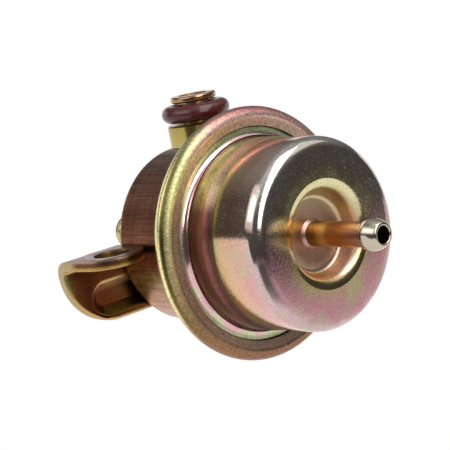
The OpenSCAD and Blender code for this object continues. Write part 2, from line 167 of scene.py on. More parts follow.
# %% [markdown]
# ## The studio
# Bright metal shows the room around it, so the room is built as the photographer built theirs. A white floor
# lights the piece from below. It shows plain white to the camera and in reflections, and an occlusion node
# keeps the shadow that a plain glow would lose.

# %% Floor
FLOOR_DROP = 100 * MM
FLOOR_SIZE = 6.0
SHADE_SAMPLES = 8


def deselect():
    """Nothing selected, so that an operator acts only on what comes next."""
    bpy.ops.object.select_all(action="DESELECT")


def seen_directly(tree):
    """1 for rays that show a surface, directly or in a reflection, and 0 for rays that only light it."""
    path = add(tree, "ShaderNodeLightPath")
    seen = path["Is Camera Ray"]
    for ray in ("Is Glossy Ray", "Is Transmission Ray"):
        seen = add(tree, "ShaderNodeMath", {0: seen, 1: path[ray]}, operation="MAXIMUM")[0]
    return seen


def floor_finish():
    """Plain white floor: it looks white and keeps a soft shadow."""
    material, tree = new_material("white_floor")
    shade = add(tree, "ShaderNodeAmbientOcclusion", {"Color": linear("ffffff"), "Distance": FLOOR_DROP},
                samples=SHADE_SAMPLES)
    glow = add(tree, "ShaderNodeEmission", {"Color": shade["Color"], "Strength": 1.0})
    matt = add(tree, "ShaderNodeBsdfDiffuse", {"Color": linear("e6e6e6")})
    both = add(tree, "ShaderNodeMixShader", {0: seen_directly(tree), 1: matt[0], 2: glow[0]})
    add(tree, "ShaderNodeOutputMaterial", {"Surface": both[0]})
    return material


deselect()
bpy.ops.mesh.primitive_plane_add(size=FLOOR_SIZE, location=(rim_middle.x, 0, axis_z - FLOOR_DROP))
floor = bpy.context.object
floor.name = "floor"
floor.data.materials.append(floor_finish())
print("floor below the axis in mm:", FLOOR_DROP / MM)

# %% [markdown]
# Dark walls give the metal its deep tones. They are a dome in line with the camera, cut off above the floor
# along a line of azimuth and elevation in degrees, where azimuth 0 is towards the camera. Black cards would
# do the same, but one dome leaves no gaps between them. It is seen only in reflections, and so the background
# stays white from every side.

# %% Dark walls
DOME_RADIUS = 0.38
DOME_SEGMENTS = 120
DOME_RINGS = 90
WALL_FOOT = [
    (-180, 26), (-114, 26), (-106, -3), (-62, -6), (-48, -24), (-15, -40), (15, -36), (45, -28),
    (60, -18), (72, -7), (80, -4.4), (88, -1.2), (104, 6), (122, 9), (125, 26), (180, 26),
]
DARK_TONES = [(0.0, 0.09), (0.45, 0.1), (0.71, 0.27), (0.87, 0.3), (0.97, 0.5)]
LIT_TONES = [(0.0, 0.1), (0.26, 0.14), (0.5, 0.35), (0.71, 0.6), (0.97, 0.8)]
# Counted from the far side: unlit up to the first turn, and fully lit from the second to the camera's side.
UNLIT_TURN = math.radians(105)
LIT_TURN = math.radians(145)


def wall_finish():
    """Dark walls of the room: nearly black low down, greyer overhead and lit by spill above the camera."""
    material, tree = new_material("dark_wall")
    place = add(tree, "ShaderNodeSeparateXYZ", {0: add(tree, "ShaderNodeTexCoord")["Object"]})
    share = add(tree, "ShaderNodeMath", {0: place["Z"], 1: DOME_RADIUS}, operation="DIVIDE")[0]
    dark = add(tree, "ShaderNodeValToRGB", {"Fac": share}, stops=DARK_TONES)["Color"]
    lit = add(tree, "ShaderNodeValToRGB", {"Fac": share}, stops=LIT_TONES)["Color"]
    bearing = add(tree, "ShaderNodeMath", {0: place["X"], 1: place["Y"]}, operation="ARCTAN2")[0]
    away = add(tree, "ShaderNodeMath", {0: bearing}, operation="ABSOLUTE")[0]
    near = add(tree, "ShaderNodeMapRange", {"Value": away, "From Min": UNLIT_TURN, "From Max": LIT_TURN})
    grey = add(tree, "ShaderNodeMix", {"Factor": near["Result"], "A": dark, "B": lit}, data_type="RGBA")
    glow = add(tree, "ShaderNodeEmission", {"Color": grey["Result"], "Strength": 1.0})
    add(tree, "ShaderNodeOutputMaterial", {"Surface": glow[0]})
    return material


def wall_foot(azimuth):
    """Elevation in degrees at which the dark walls end, read between the points of a line."""
    for (start, low), (end, high) in zip(WALL_FOOT, WALL_FOOT[1:]):
        if azimuth <= end:
            return low + (high - low) * (azimuth - start) / (end - start)


def heading(point):
    """Azimuth and elevation of a point of the dome in degrees, seen from its middle."""
    return math.degrees(math.atan2(point.x, -point.y)), math.degrees(math.asin(point.z / point.length))


deselect()
bpy.ops.mesh.primitive_uv_sphere_add(segments=DOME_SEGMENTS, ring_count=DOME_RINGS, radius=DOME_RADIUS)
dome = bpy.context.object
dome.name = "dark_walls"
bpy.ops.object.mode_set(mode="EDIT")
bpy.ops.mesh.select_all(action="DESELECT")
bpy.ops.object.mode_set(mode="OBJECT")
for face in dome.data.polygons:
    azimuth, elevation = heading(face.center)
    face.select = elevation < wall_foot(azimuth)
bpy.ops.object.mode_set(mode="EDIT")
bpy.ops.mesh.delete(type="FACE")
bpy.ops.object.mode_set(mode="OBJECT")
dome.matrix_world = Matrix.Translation(rim_middle) @ Matrix((right, -back, up)).transposed().to_4x4()
dome.data.materials.append(wall_finish())
for ray in ("visible_camera", "visible_diffuse", "visible_shadow", "visible_transmission"):
    setattr(dome, ray, False)
print("floor and walls:", len(dome.data.polygons), "wall faces")

# %% [markdown]
# Two soft boxes make the highlights, and two weak glows fill in beside them. A lamp's direction is counted in
# degrees from the camera's, to the right and up, and its size is the angle that it covers. The lamps stand
# inside the dome, or its walls would hide them in reflections. Rays that only light a surface find dim
# surroundings, and all others white ones.

# %% Soft boxes and surroundings
BOX_DISTANCE = 0.25
DIM = 0.12


def soft_box(name, azimuth, elevation, width, height, radiance, lean=0):
    """Area lamp at a direction, with a size and a sideways lean, all in degrees."""
    a, e = math.radians(azimuth), math.radians(elevation)
    towards = right * math.sin(a) * math.cos(e) + back * math.cos(a) * math.cos(e) + up * math.sin(e)
    data = bpy.data.lights.new(name, "AREA")
    data.shape = "RECTANGLE"
    data.size, data.size_y = (2 * BOX_DISTANCE * math.tan(math.radians(t) / 2) for t in (width, height))
    data.energy = radiance * math.pi * data.size * data.size_y
    lamp = bpy.data.objects.new(name, data)
    facing = towards.to_track_quat("Z", "Y").to_matrix().to_4x4()
    aim = facing @ Matrix.Rotation(math.radians(lean), 4, "Z")
    lamp.matrix_world = Matrix.Translation(rim_middle + towards * BOX_DISTANCE) @ aim
    lamp.visible_camera = False
    bpy.context.scene.collection.objects.link(lamp)


soft_box("left_box", azimuth=-52, elevation=24, width=44, height=24, radiance=1.4)
soft_box("left_glow", azimuth=-56, elevation=25, width=64, height=44, radiance=0.7)
soft_box("right_box", azimuth=27, elevation=41, width=32, height=76, radiance=3.0, lean=-24)
soft_box("top_glow", azimuth=80, elevation=58, width=36, height=28, radiance=0.7)

world = bpy.data.worlds.new("white_surroundings")
world.use_nodes = True
sky_tree = world.node_tree
sky_tree.nodes.clear()
tone = add(sky_tree, "ShaderNodeValToRGB", {"Fac": seen_directly(sky_tree)}, stops=[(0.0, DIM), (1.0, 1.0)])
sky = add(sky_tree, "ShaderNodeBackground", {"Color": tone["Color"], "Strength": 1.0})
add(sky_tree, "ShaderNodeOutputWorld", {"Surface": sky[0]})
bpy.context.scene.world = world
bpy.context.scene.view_settings.view_transform = "Standard"

# %% [markdown]
# ## Yellow chromate on zinc
# The steel is zinc plated and then dipped in chromate, which leaves a thin clear film. Its thickness changes
# from place to place, so the metal drifts between gold, rose, lilac and green. A film shader could compute
# that, but colours that follow a measure on the piece, and wander a little, are easier to match and survive
# export. Zones with soft edges then lay one film over another.

# %% Measures, films and zones
Measures = namedtuple("Measures", "point along side height radius")
Film = namedtuple("Film", "wander patch stops")
FILM_SPREAD = 4


def measures(tree):
    """A surface point in mm from the rim's middle, its coordinates and its distance from the axis."""
    place = add(tree, "ShaderNodeTexCoord")["Object"]
    local = add(tree, "ShaderNodeVectorMath", {0: place, 1: rim_middle}, operation="SUBTRACT")[0]
    point = add(tree, "ShaderNodeVectorMath", {0: local, "Scale": 1 / MM}, operation="SCALE")[0]
    parts = add(tree, "ShaderNodeSeparateXYZ", {0: point})
    across = add(tree, "ShaderNodeVectorMath", {0: point, 1: (0, 1, 1)}, operation="MULTIPLY")[0]
    radius = add(tree, "ShaderNodeVectorMath", {0: across}, operation="LENGTH")["Value"]
    return Measures(point, parts["X"], parts["Y"], parts["Z"], radius)


def film(tree, at, measure, kind):
    """Colour that follows a measure and wanders by some of its units, in soft patches of some mm."""
    noise = add(tree, "ShaderNodeTexNoise", {
        "Vector": at.point, "Scale": 1 / kind.patch, "Detail": 4.0, "Roughness": 0.62, "Distortion": 0.6,
    })["Fac"]
    reach = FILM_SPREAD * kind.wander
    moved = add(tree, "ShaderNodeMath", {0: noise, 1: reach, 2: measure}, operation="MULTIPLY_ADD")[0]
    first, last = kind.stops[0][0], kind.stops[-1][0]
    share = add(tree, "ShaderNodeMapRange", {
        "Value": moved, "From Min": first + reach / 2, "From Max": last + reach / 2,
    })["Result"]
    stops = [((place - first) / (last - first), code) for place, code in kind.stops]
    return add(tree, "ShaderNodeValToRGB", {"Fac": share}, stops=stops)["Color"]


def zone(tree, *limits, share=1.0):
    """The share inside a zone, else 0. Each limit is a measure and its soft edges, from outside in."""
    for measure, edges in limits:
        for outside, inside in edges:
            edge = add(tree, "ShaderNodeMapRange", {
                "Value": measure, "From Min": outside, "From Max": inside,
            }, interpolation_type="SMOOTHSTEP")["Result"]
            share = add(tree, "ShaderNodeMath", {0: share, 1: edge}, operation="MULTIPLY")[0]
    return share


def layered(tree, colour, *layers):
    """A colour with others laid over it in turn, each by its share."""
    for share, over in layers:
        colour = add(tree, "ShaderNodeMix", {"Factor": share, "A": colour, "B": over},
                     data_type="RGBA")["Result"]
    return colour


def duller(tree, rough, *zones):
    """A roughness with some more of it in each zone."""
    for share, more in zones:
        rough = add(tree, "ShaderNodeMath", {0: share, 1: more, 2: rough}, operation="MULTIPLY_ADD")[0]
    return rough


print("a film follows one of", Measures._fields[1:])

# %% [markdown]
# All plated pieces share one recipe. A function gives the film's colour and its roughness at each point. A
# fine noise then grains both and raises the surface by a few thousandths of a millimetre, and a second noise
# adds dull pits. One recipe keeps the pieces alike, as parts from the same bath are.

# %% Recipe for plated steel
NOISE_LOW, NOISE_HIGH = 0.3, 0.7
GRAIN_LOW, GRAIN_HIGH = 0.8, 1.25
# Real pits and grain are finer than a pixel, so both are drawn as coarse as they need to show.
PIT_SIZE = 0.42
PIT_NOISE = [(0.62, 0.7)]


def mottled(tree, colour, noise, low, high):
    """A colour made darker and lighter by a noise."""
    tone = add(tree, "ShaderNodeMapRange", {
        "Value": noise, "From Min": NOISE_LOW, "From Max": NOISE_HIGH, "To Min": low, "To Max": high,
    })["Result"]
    return add(tree, "ShaderNodeVectorMath", {0: colour, 1: tone}, operation="MULTIPLY")[0]


def plated(name, colours, grain, relief, speck, pits=0.0):
    """Plated steel: grain and relief in millimetres, speck and pits as changes of tone and roughness."""
    material, tree = new_material(name)
    at = measures(tree)
    tint, rough = colours(tree, at)
    fine = add(tree, "ShaderNodeTexNoise", {
        "Vector": at.point, "Scale": 1 / grain, "Detail": 3.0, "Roughness": 0.6,
    })["Fac"]
    uneven = add(tree, "ShaderNodeMapRange", {
        "Value": fine, "From Min": NOISE_LOW, "From Max": NOISE_HIGH,
        "To Min": GRAIN_LOW, "To Max": GRAIN_HIGH,
    })["Result"]
    rough = add(tree, "ShaderNodeMath", {0: uneven, 1: rough}, operation="MULTIPLY")[0]
    spots = add(tree, "ShaderNodeTexNoise", {
        "Vector": at.point, "Scale": 1 / PIT_SIZE, "Detail": 1.0,
    })["Fac"]
    rough = duller(tree, rough, (zone(tree, (spots, PIT_NOISE)), pits))
    bump = add(tree, "ShaderNodeBump", {"Height": fine, "Strength": 1.0, "Distance": relief * MM})
    metal = add(tree, "ShaderNodeBsdfPrincipled", {
        "Base Color": mottled(tree, tint, fine, 1 - speck, 1 + speck),
        "Metallic": 1.0, "Roughness": rough, "Normal": bump["Normal"],
    })
    add(tree, "ShaderNodeOutputMaterial", {"Surface": metal[0]})
    return material


def dress(node, material):
    """The CAD node's own slots take this material."""
    piece = nodes[node]
    piece.data.materials.clear()
    piece.data.materials.append(material)
    print(node, "wears", material.name)


print("pits in mm:", PIT_SIZE)

# %% [markdown]
# ## The spring chamber
# The chamber is deep drawn. Its film runs from green and pink on the flange over brown at the foot, peach and
# rose on the wall and silver on the corner to mauve on the front, with soft green patches. So these colours
# follow the path from the flange over the corner to the middle, in millimetres from the rim. The sunk middle
# is gold, and its colours follow the distance from the axis.

# %% Films of the chamber
WALL_FILM = Film(wander=1.8, patch=5.0, stops=[
    (-3.0, "98a070"), (-1.2, "ccd4a8"), (0.4, "dfbab8"), (1.4, "d6a8ac"), (2.5, "bcac68"),
    (4.2, "ece0a8"), (6.5, "e2bca8"), (8.5, "c0b480"), (11.0, "d0a890"), (13.5, "cca48e"),
    (16.0, "dab8a8"), (18.5, "dcc4b8"), (20.5, "c8c4c2"), (22.6, "c8bcae"), (25.0, "c0b0a4"),
    (27.0, "c0b890"), (28.4, "e4d8b0"), (29.5, "dcd4a4"),
])
ROSE_FILM = Film(wander=1.8, patch=5.0, stops=[
    (-3.0, "a8ac7c"), (-1.2, "c8d0a4"), (0.4, "e0b4ba"), (1.4, "d6a0a8"), (2.5, "a06a60"),
    (5.0, "a47664"), (6.5, "d0a09a"), (8.5, "c4b680"), (11.0, "dcb48c"), (13.5, "e0b49a"),
    (16.0, "dca69e"), (18.0, "d8aea8"), (19.8, "d2b8b4"), (20.8, "cab2b2"), (22.2, "bc9094"),
    (25.0, "b48288"), (26.8, "b28882"), (28.2, "b0947a"), (29.5, "ae9a6c"),
])
FOOT_FILM = Film(wander=0.6, patch=4.0, stops=[
    (1.0, "b07468"), (3.0, "94605a"), (5.0, "9a6a5c"), (6.4, "8a5850"), (7.2, "5c3c34"), (8.6, "6a4840"),
])
GREEN_FILM = Film(wander=1.0, patch=5.0, stops=[
    (9.0, "c4b07c"), (16.0, "c4bc94"), (20.5, "b4b498"), (25.0, "a4a078"), (29.5, "b0a474"),
])
SUNK_FILM = Film(wander=0.5, patch=4.0, stops=[
    (2.5, "d8ae96"), (5.5, "dab896"), (7.2, "d4c49a"), (8.5, "b4a074"), (10.5, "c4b878"),
])
SUNK_ROSE = Film(wander=0.5, patch=4.0, stops=[
    (2.5, "a67c6a"), (5.5, "9c765e"), (7.2, "ccb098"), (8.5, "dcbc74"), (10.5, "e4c4a8"),
])
SUNK_PALE = Film(wander=0.5, patch=4.0, stops=[
    (2.5, "a67c6a"), (5.5, "9c765e"), (7.2, "ccb098"), (8.5, "d0b0a2"), (10.5, "e8d0c4"),
])
print("tones along the wall:", len(WALL_FILM.stops), "above and", len(ROSE_FILM.stops), "below")

# %% [markdown]
# The drawing die polished the wall and the front, while the flange, the step and the sunk middle stayed
# satin. Low on the left of the corner lies a dull band, darkened by a painted dark reflection. Each of these
# is a zone, and a zone says how far its colour covers what is under it and how much duller it is. Painting a
# mask by hand could do that too, but limits in millimetres can be read and changed.

# %% Finish of the chamber
WALL_RADIUS = 19.2
FRONT = 20.7
ROSE_HEIGHT = [(8.0, -3.0)]
PATCH_SIZE = 7.0
PATCH_NOISE = [(0.47, 0.78)]
PATCH_PATH = [(9.0, 13.0)]
STEP_PATH = [(1.2, 2.0), (9.0, 8.4)]
FOOT_HEIGHT = [(13.0, 8.0)]
# Where a painted dark reflection lies: a band low on the left of the corner, which is also duller.
PAINTED_DARK_PATH = [(20.0, 20.9), (23.6, 21.8)]
PAINTED_DARK_HEIGHT = [(1.0, -2.0), (-12.0, -5.0)]
PAINTED_DARK_SIDE = [(0.0, -8.0)]
PAINTED_DARK_SHARE = 0.85
PALE_SIDE = [(-3.0, 4.0)]
SUNK_ALONG = [(FRONT - 0.2, FRONT - 1.1)]
SUNK_RADIUS = [(13.0, 12.0)]
FLANGE_PATH = [(0.0, -1.0)]
WALL_END, FRONT_START = 20.0, 25.0
WALL_ROUGHNESS, FRONT_ROUGHNESS = 0.1, 0.12
SUNK_DULL, STEP_DULL, CORNER_DULL, FLANGE_DULL = 0.22, 0.2, 0.3, 0.28


def chamber_colours(tree, at):
    """Film and roughness of the outside along the path, and of the sunk middle. Both turn to rose below."""
    inwards = add(tree, "ShaderNodeMath", {0: WALL_RADIUS, 1: at.radius}, operation="SUBTRACT")[0]
    path = add(tree, "ShaderNodeMath", {0: at.along, 1: inwards}, operation="ADD")[0]
    noise = add(tree, "ShaderNodeTexNoise", {
        "Vector": at.point, "Scale": 1 / PATCH_SIZE, "Detail": 3.0,
    })["Fac"]
    rose = zone(tree, (at.height, ROSE_HEIGHT))
    step = zone(tree, (path, STEP_PATH))
    corner = zone(tree, (path, PAINTED_DARK_PATH), (at.height, PAINTED_DARK_HEIGHT), (at.side, PAINTED_DARK_SIDE),
                  share=PAINTED_DARK_SHARE)
    sunk = zone(tree, (at.along, SUNK_ALONG), (at.radius, SUNK_RADIUS))
    flange = zone(tree, (path, FLANGE_PATH))
    outside = layered(
        tree, film(tree, at, path, WALL_FILM),
        (rose, film(tree, at, path, ROSE_FILM)),
        (zone(tree, (noise, PATCH_NOISE), (path, PATCH_PATH)), film(tree, at, path, GREEN_FILM)),
        (zone(tree, (at.height, FOOT_HEIGHT), share=step), film(tree, at, path, FOOT_FILM)),
        # painted dark reflection over the dull band low on the left of the corner
        (corner, linear("3e3a3c")),
    )
    middle = layered(
        tree, film(tree, at, at.radius, SUNK_FILM),
        (rose, film(tree, at, at.radius, SUNK_ROSE)),
        (zone(tree, (at.side, PALE_SIDE), share=rose), film(tree, at, at.radius, SUNK_PALE)),
    )
    polished = add(tree, "ShaderNodeMapRange", {
        "Value": path, "From Min": WALL_END, "From Max": FRONT_START,
        "To Min": WALL_ROUGHNESS, "To Max": FRONT_ROUGHNESS,
    })["Result"]
    rough = duller(tree, polished, (sunk, SUNK_DULL), (step, STEP_DULL), (corner, CORNER_DULL),
                   (flange, FLANGE_DULL))
    return layered(tree, outside, (sunk, middle)), rough


# Drawn steel, zinc and chromate: it mirrors the room, broken up by fine grain and dull pits.
bright_chromate = plated("bright_chromate", chamber_colours, grain=0.32, relief=0.009, speck=0.18, pits=0.13)
dress("upper_housing", bright_chromate)

# %% [markdown]
# ## The cup and its crimped rim
# The rim was rolled over the flange, which left it satin and grainy: rose on top, yellow-green at the left,
# brown below. Its colours follow the angle round the axis, in degrees from the top. The cup behind it has a
# thick brown film with fine drawing marks along the axis and faint rings round it. All three kinds of marks
# are a noise that a Mapping node stretches, because a scale below 1 draws it out along that axis.

# %% Films and marks of the cup
RIM_FILM = Film(wander=6.0, patch=7.0, stops=[
    (-180, "9c745c"), (-145, "a07658"), (-118, "907652"), (-90, "c8b684"), (-58, "c6c48a"),
    (-32, "c4bc8c"), (-17, "c8a08c"), (-4, "cc908c"), (14, "c48486"), (40, "b48c7c"),
    (80, "987c60"), (130, "8e6e54"), (180, "9c745c"),
])
CUP_FILM = Film(wander=2.0, patch=9.0, stops=[
    (-18.6, "c4ba94"), (-16, "cc9f86"), (-11, "bc8c6c"), (-6, "ac9468"), (-1, "8a5840"),
    (8, "86563e"), (14, "8e6450"), (18.6, "9c7c6c"),
])
Marks = namedtuple("Marks", "size stretch detail tones")
ROLLING_MARKS = Marks(size=0.3, stretch=(0.5, 0.5, 1), detail=2.0, tones=(0.6, 1.4))
DRAWING_MARKS = Marks(size=0.45, stretch=(0.04, 1, 1), detail=3.0, tones=(0.5, 1.5))
RING_MARKS = Marks(size=1.6, stretch=(1, 0.12, 0.12), detail=3.0, tones=(0.7, 1.2))


def marked(tree, colour, point, marks):
    """A colour with marks: a noise, stretched along one or two axes, makes it darker and lighter."""
    drawn = add(tree, "ShaderNodeMapping", {"Vector": point, "Scale": marks.stretch})["Vector"]
    noise = add(tree, "ShaderNodeTexNoise", {
        "Vector": drawn, "Scale": 1 / marks.size, "Detail": marks.detail, "Roughness": 0.7,
    })["Fac"]
    return mottled(tree, colour, noise, *marks.tones)


print("marks in mm:", [marks.size for marks in (ROLLING_MARKS, DRAWING_MARKS, RING_MARKS)])

# %% [markdown]
# On the rim, light and shade are painted into the colour: at the left a dark reflection and a highlight on
# the outer edge, a highlight on the rose crown on top, light on the pale slope down to the chamber and a
# shadow in the gap at the lip where the two meet. They are zones along the axis and round it. The rolling
# marks are laid on the rim as if it were unrolled, so that they keep their size all the way round.

# %% Finish of the cup
LEFT_ANGLES = [(-25, -55), (-138, -98)]
TOP_ANGLES = [(-50, -15), (60, 25)]
# Painted dark reflection on the rim at the left, between its outer edge and its bright band.
RIM_DARK_REFLECTION_ALONG = [(0.4, 0.75), (1.45, 1.15)]
# Painted highlight on the rim's outer edge at the left.
RIM_HIGHLIGHT_ALONG = [(0.55, 0.35)]
# Painted highlight on the rose crown on top of the rim.
CROWN_HIGHLIGHT_ALONG = [(1.6, 1.95)]
BAND_ALONG = [(1.0, 1.6)]
SLOPE_ALONG = [(0.5, 1.2)]
SLOPE_RADIUS = [(24.2, 23.2)]
# How far the slope is paled, as painted light.
SLOPE_PAINTED_LIGHT_SHARE = 0.8
# Painted shadow in the gap under the lip.
LIP_PAINTED_SHADE_RADIUS = [(22.0, 21.8)]
ROLLED_RADIUS = [(19.4, 20.6)]
MM_PER_DEGREE = 0.42
RIM_ROUGHNESS, BAND_DULL, SLOPE_DULL = 0.32, 0.12, 0.14


def cup_colours(tree, at):
    """Film and roughness of the cup by its height, and of the rim round the axis."""
    bearing = add(tree, "ShaderNodeMath", {0: at.side, 1: at.height}, operation="ARCTAN2")[0]
    around = add(tree, "ShaderNodeMath", {0: bearing}, operation="DEGREES")[0]
    arc = add(tree, "ShaderNodeMath", {0: around, 1: MM_PER_DEGREE}, operation="MULTIPLY")[0]
    unrolled = add(tree, "ShaderNodeCombineXYZ", {0: at.along, 1: at.radius, 2: arc})[0]
    leftwards = zone(tree, (around, LEFT_ANGLES))
    slope = zone(tree, (at.radius, SLOPE_RADIUS), (at.along, SLOPE_ALONG))
    # How far the slope is lightened, as painted light.
    pale = add(tree, "ShaderNodeMath", {0: slope, 1: SLOPE_PAINTED_LIGHT_SHARE}, operation="MULTIPLY")[0]
    rim = layered(
        tree, film(tree, at, around, RIM_FILM),
        # painted dark reflection at the left, between the outer edge and the bright band
        (zone(tree, (at.along, RIM_DARK_REFLECTION_ALONG), share=leftwards), linear("685a30")),
        # painted highlight on the outer edge at the left
        (zone(tree, (at.along, RIM_HIGHLIGHT_ALONG), share=leftwards), linear("fff0ac")),
        # painted highlight on the rose crown on top
        (zone(tree, (at.along, CROWN_HIGHLIGHT_ALONG), (around, TOP_ANGLES)), linear("ecc0b8")),
        # painted light on the slope down to the chamber
        (pale, linear("c4b09c")),
        # painted shadow in the gap under the lip
        (zone(tree, (at.radius, LIP_PAINTED_SHADE_RADIUS)), linear("3a322a")),
    )
    rim = marked(tree, rim, unrolled, ROLLING_MARKS)
    cup = marked(tree, film(tree, at, at.height, CUP_FILM), at.point, DRAWING_MARKS)
    cup = marked(tree, cup, at.point, RING_MARKS)
    rough = duller(tree, RIM_ROUGHNESS, (zone(tree, (at.along, BAND_ALONG)), BAND_DULL), (slope, SLOPE_DULL))
    return layered(tree, cup, (zone(tree, (at.radius, ROLLED_RADIUS)), rim)), rough


# Rolled and drawn steel, zinc and chromate: soft highlights, grainy on the rim and streaked on the cup.
dress("lower_housing", plated("satin_chromate", cup_colours, grain=0.28, relief=0.014, speck=0.24))

# %% [markdown]
# ## Nipple, port and return tube
# The turned pieces are smooth. The nipple has a pale ring at its foot, a tube that goes from olive over gold
# to copper, and a silver bulb, because the film hardly took there. The port is olive gold and the return tube
# pale gold. Two are dressed here, and the nipple's finish waits for its rounded copy below.

# %% Finish of the turned fittings
NIPPLE_FILM = Film(wander=0.15, patch=2.0, stops=[
    (16.0, "a07c70"), (16.8, "c49e90"), (17.2, "9c8048"), (18.8, "a88848"), (20.2, "e8c070"),
    (21.4, "f0d084"), (22.4, "dc9c64"), (27.0, "d89466"), (30.4, "bc8c70"), (31.2, "c4b8a4"),
    (36.0, "c8bda8"),
])
PORT_FILM = Film(wander=0.8, patch=4.0, stops=[
    (17, "a89a5e"), (20, "b8a868"), (23, "b09a56"), (26, "a08050"), (30, "b08c6a"),
])
TUBE_FILM = Film(wander=2.0, patch=5.0, stops=[(-48, "c2b27c"), (-30, "cdc190"), (-20, "c6ba8e")])
STEM_END, BULB_START = 30.4, 31.4
STEM_ROUGHNESS, BULB_ROUGHNESS = 0.32, 0.14
PORT_ROUGHNESS, TUBE_ROUGHNESS = 0.18, 0.22


def nipple_colours(tree, at):
    """Satin stem and bright bulb."""
    rough = add(tree, "ShaderNodeMapRange", {
        "Value": at.along, "From Min": STEM_END, "From Max": BULB_START,
        "To Min": STEM_ROUGHNESS, "To Max": BULB_ROUGHNESS,
    })["Result"]
    return film(tree, at, at.along, NIPPLE_FILM), rough


def port_colours(tree, at):
    """Olive gold that turns warmer towards the lip."""
    return film(tree, at, at.height, PORT_FILM), PORT_ROUGHNESS


def tube_colours(tree, at):
    """Pale gold tube."""
    return film(tree, at, at.along, TUBE_FILM), TUBE_ROUGHNESS


# Turned steel, zinc and chromate: clean, long highlights with hardly any grain.
copper = plated("copper_chromate", nipple_colours, grain=0.3, relief=0.002, speck=0.06)
dress("inlet_port", plated("olive_chromate", port_colours, grain=0.3, relief=0.002, speck=0.06))
dress("return_tube", plated("pale_chromate", tube_colours, grain=0.3, relief=0.003, speck=0.08))

# %% [markdown]
# ## The bracket
# The plate's faces are maroon and orange, with olive towards the outer end. The film is thinner on edges, so
# those are olive gold, and the tab's top is pale lilac. Separate materials on each face would need borders.
# The face's own direction tells an edge from a flat without any, and the channel's upper flank from its lower
# one, so that light and shade are painted on them: olive on the upper flank, lighter tan on the lower. Most
# colours follow the reach to the side.

# %% Finish of the bracket
PLATE_FILM = Film(wander=1.2, patch=5.0, stops=[
    (12, "a07c4c"), (20, "966e4c"), (25, "925f42"), (28, "7a4a32"), (31, "784e32"), (32.6, "7a7040"),
    (34, "888050"),
])
EDGE_FILM = Film(wander=2.0, patch=5.0, stops=[
    (14, "9c7a5a"), (22, "a08450"), (27, "a8925a"), (31, "b09a62"), (34, "bda67c"),
])
TAB_FILM = Film(wander=2.0, patch=5.0, stops=[
    (14, "8c6a54"), (20, "94705c"), (25, "9c8076"), (30, "b29a92"), (34, "b8a296"),
])
# Painted light and shade on the channel's flanks: lighter tan where a face points down, olive where it points
# up.
DOWN_FACING_PAINTED_LIGHT = Film(wander=1.0, patch=4.0, stops=[(12, "b08a60"), (22, "d8b07c"), (30, "d8a870")])
UP_FACING_PAINTED_SHADE = Film(wander=1.0, patch=4.0, stops=[(12, "8e7c48"), (22, "b09c5c"), (30, "a8884c")])
# Across the tab's sheared edge: the darker middle is the cut face, and the lighter bands at its top and
# bottom are painted highlights of its rounded edges.
SHEAR_EDGE_AND_HIGHLIGHTS = Film(wander=0.12, patch=1.5, stops=[
    (0.2, "c4a464"), (0.7, "b08c50"), (1.1, "6a4a30"), (1.7, "745038"), (2.0, "b89470"), (2.2, "a88468"),
])
FLAT_FACING = [(0.35, 0.6)]
DOWN_FACING = [(-0.05, -0.45)]
UP_FACING = [(0.05, 0.45)]
PLATE_ALONG = [(-20.5, -21.8)]
SHEAR_ALONG = [(-20.5, -18.0)]
TAB_TOP = 2.2
TAB_HEIGHT = [(TAB_TOP - 0.2, TAB_TOP - 0.05)]
BRACKET_ROUGHNESS = 0.32


def bracket_colours(tree, at):
    """Maroon plate with painted light on the channel, olive-gold edges, the tab's sheared edge with painted
    highlights and its lilac top.
    """
    reach = add(tree, "ShaderNodeMath", {0: at.side, 1: -1.0}, operation="MULTIPLY")[0]
    normal = add(tree, "ShaderNodeNewGeometry")["Normal"]
    facing = add(tree, "ShaderNodeSeparateXYZ", {0: normal})
    lengthwise = add(tree, "ShaderNodeMath", {0: facing["X"]}, operation="ABSOLUTE")[0]
    plate = layered(
        tree, film(tree, at, reach, PLATE_FILM),
        # painted light and shade on the channel's flanks, by which way they face
        (zone(tree, (facing["Z"], DOWN_FACING)), film(tree, at, reach, DOWN_FACING_PAINTED_LIGHT)),
        (zone(tree, (facing["Z"], UP_FACING)), film(tree, at, reach, UP_FACING_PAINTED_SHADE)),
    )
    colour = layered(
        tree, film(tree, at, reach, EDGE_FILM),
        (zone(tree, (lengthwise, FLAT_FACING), (at.along, PLATE_ALONG)), plate),
        # the tab's sheared edge, with painted highlights along its top and bottom
        (zone(tree, (at.along, SHEAR_ALONG)), film(tree, at, at.height, SHEAR_EDGE_AND_HIGHLIGHTS)),
        (zone(tree, (at.height, TAB_HEIGHT)), film(tree, at, reach, TAB_FILM)),
    )
    return colour, BRACKET_ROUGHNESS


# Stamped sheet, zinc and chromate: the thickest film, so dark, warm and satin.
brown = plated("brown_chromate", bracket_colours, grain=0.3, relief=0.008, speck=0.22)
print("finish of the bracket:", brown.name)

# %% [markdown]
# The bracket is stamped from sheet, and tumbling before plating rounds its edges. A sharp edge catches no
# light and looks drawn, so the bracket is remade from the solid. A copy's triangles are merged and its flat
# faces joined, because a bevel needs clean edges. Planes cut the flats first, since a face with a hole in it
# can't be joined well.

# %% Clean copies of solids
MERGE = 0.002 * MM
FLAT_ANGLE = math.radians(0.5)


def merged_copy(node, name):
    """A copy of a CAD node's mesh, selected and active, with the points of its triangles merged."""
    deselect()
    piece = bpy.data.objects.new(name, nodes[node].data.copy())
    bpy.context.scene.collection.objects.link(piece)
    bpy.context.view_layer.objects.active = piece
    piece.select_set(True)
    bpy.ops.mesh.customdata_custom_splitnormals_clear()
    bpy.ops.object.mode_set(mode="EDIT")
    bpy.ops.mesh.select_all(action="SELECT")
    bpy.ops.mesh.remove_doubles(threshold=MERGE)
    bpy.ops.object.mode_set(mode="OBJECT")
    return piece


